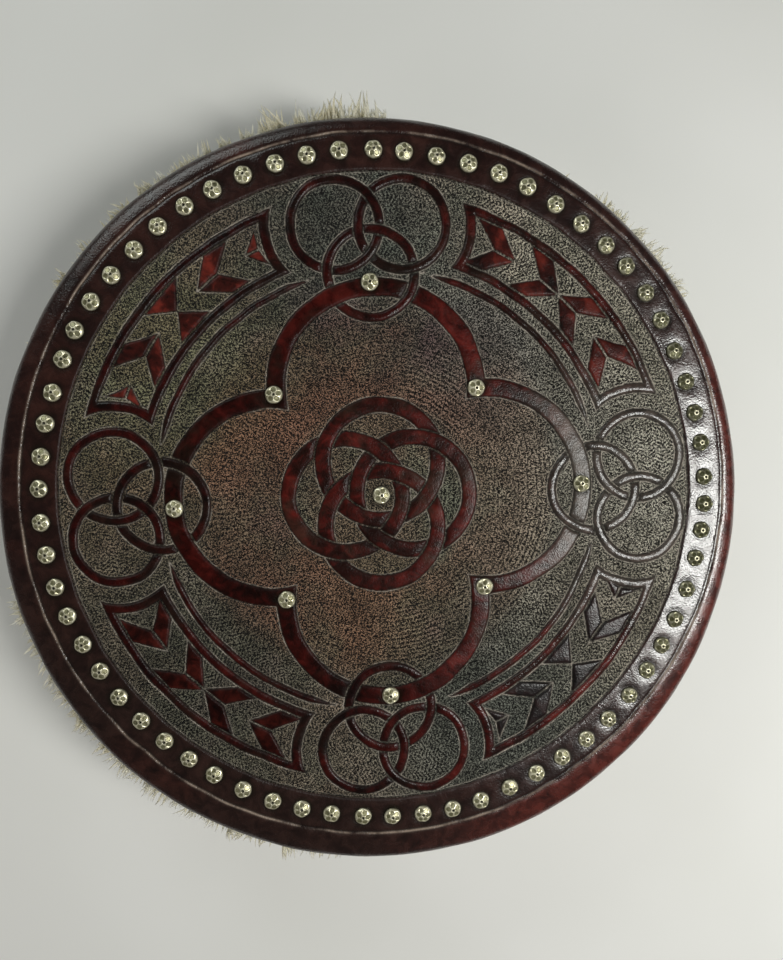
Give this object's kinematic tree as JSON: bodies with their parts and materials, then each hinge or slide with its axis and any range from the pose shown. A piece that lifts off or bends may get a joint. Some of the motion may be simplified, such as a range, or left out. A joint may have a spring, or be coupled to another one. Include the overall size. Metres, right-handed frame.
{
  "type": "targe",
  "caption": "Round leather-covered targe with tooled interlace, domed nails and a fleece back, lying face up on its arm strap and hand grip.",
  "frame": {"origin": "on the ground under the middle of the disc, as the targe lies on its back", "axes": "+Z out of the leather face, +Y towards the top of the face in the picture, +X to the right of the face, where the arm strap is behind it"},
  "size_m": [0.514, 0.514, 0.0925],
  "materials": {
    "cover_leather": "tooled, dyed oxblood on a grey-black beaten ground, waxed",
    "strap_leather": "dark brown, satin",
    "board_wood": "planed, bare",
    "fleece_wool": "cream sheepskin with short curly wool",
    "nail_brass": "antiqued pale brass, cast dimples"
  },
  "bodies": {
    "root": {"arm_strap": "strap_leather", "field_nail_centre": "nail_brass", "field_nail_east": "nail_brass", "field_nail_north": "nail_brass", "field_nail_northeast": "nail_brass", "field_nail_northwest": "nail_brass", "field_nail_south": "nail_brass", "field_nail_southeast": "nail_brass", "field_nail_southwest": "nail_brass", "field_nail_west": "nail_brass", "fleece_back": "fleece_wool", "hand_grip": "strap_leather", "leather_cover": "cover_leather", "rim_nail_01": "nail_brass", "rim_nail_02": "nail_brass", "rim_nail_04": "nail_brass", "rim_nail_05": "nail_brass", "rim_nail_07": "nail_brass", "rim_nail_08": "nail_brass", "rim_nail_10": "nail_brass", "rim_nail_11": "nail_brass", "rim_nail_13": "nail_brass", "rim_nail_14": "nail_brass", "rim_nail_16": "nail_brass", "rim_nail_17": "nail_brass", "rim_nail_19": "nail_brass", "rim_nail_20": "nail_brass", "rim_nail_22": "nail_brass", "rim_nail_23": "nail_brass", "rim_nail_25": "nail_brass", "rim_nail_26": "nail_brass", "rim_nail_28": "nail_brass", "rim_nail_29": "nail_brass", "rim_nail_31": "nail_brass", "rim_nail_32": "nail_brass", "rim_nail_34": "nail_brass", "rim_nail_35": "nail_brass", "rim_nail_37": "nail_brass", "rim_nail_38": "nail_brass", "rim_nail_40": "nail_brass", "rim_nail_41": "nail_brass", "rim_nail_43": "nail_brass", "rim_nail_44": "nail_brass", "rim_nail_46": "nail_brass", "rim_nail_47": "nail_brass", "rim_nail_49": "nail_brass", "rim_nail_50": "nail_brass", "rim_nail_52": "nail_brass", "rim_nail_53": "nail_brass", "rim_nail_55": "nail_brass", "rim_nail_56": "nail_brass", "rim_nail_58": "nail_brass", "rim_nail_59": "nail_brass", "rim_nail_61": "nail_brass", "rim_nail_62": "nail_brass", "rim_nail_64": "nail_brass", "rim_nail_65": "nail_brass", "wooden_board": "board_wood"}
  },
  "joints": []
}
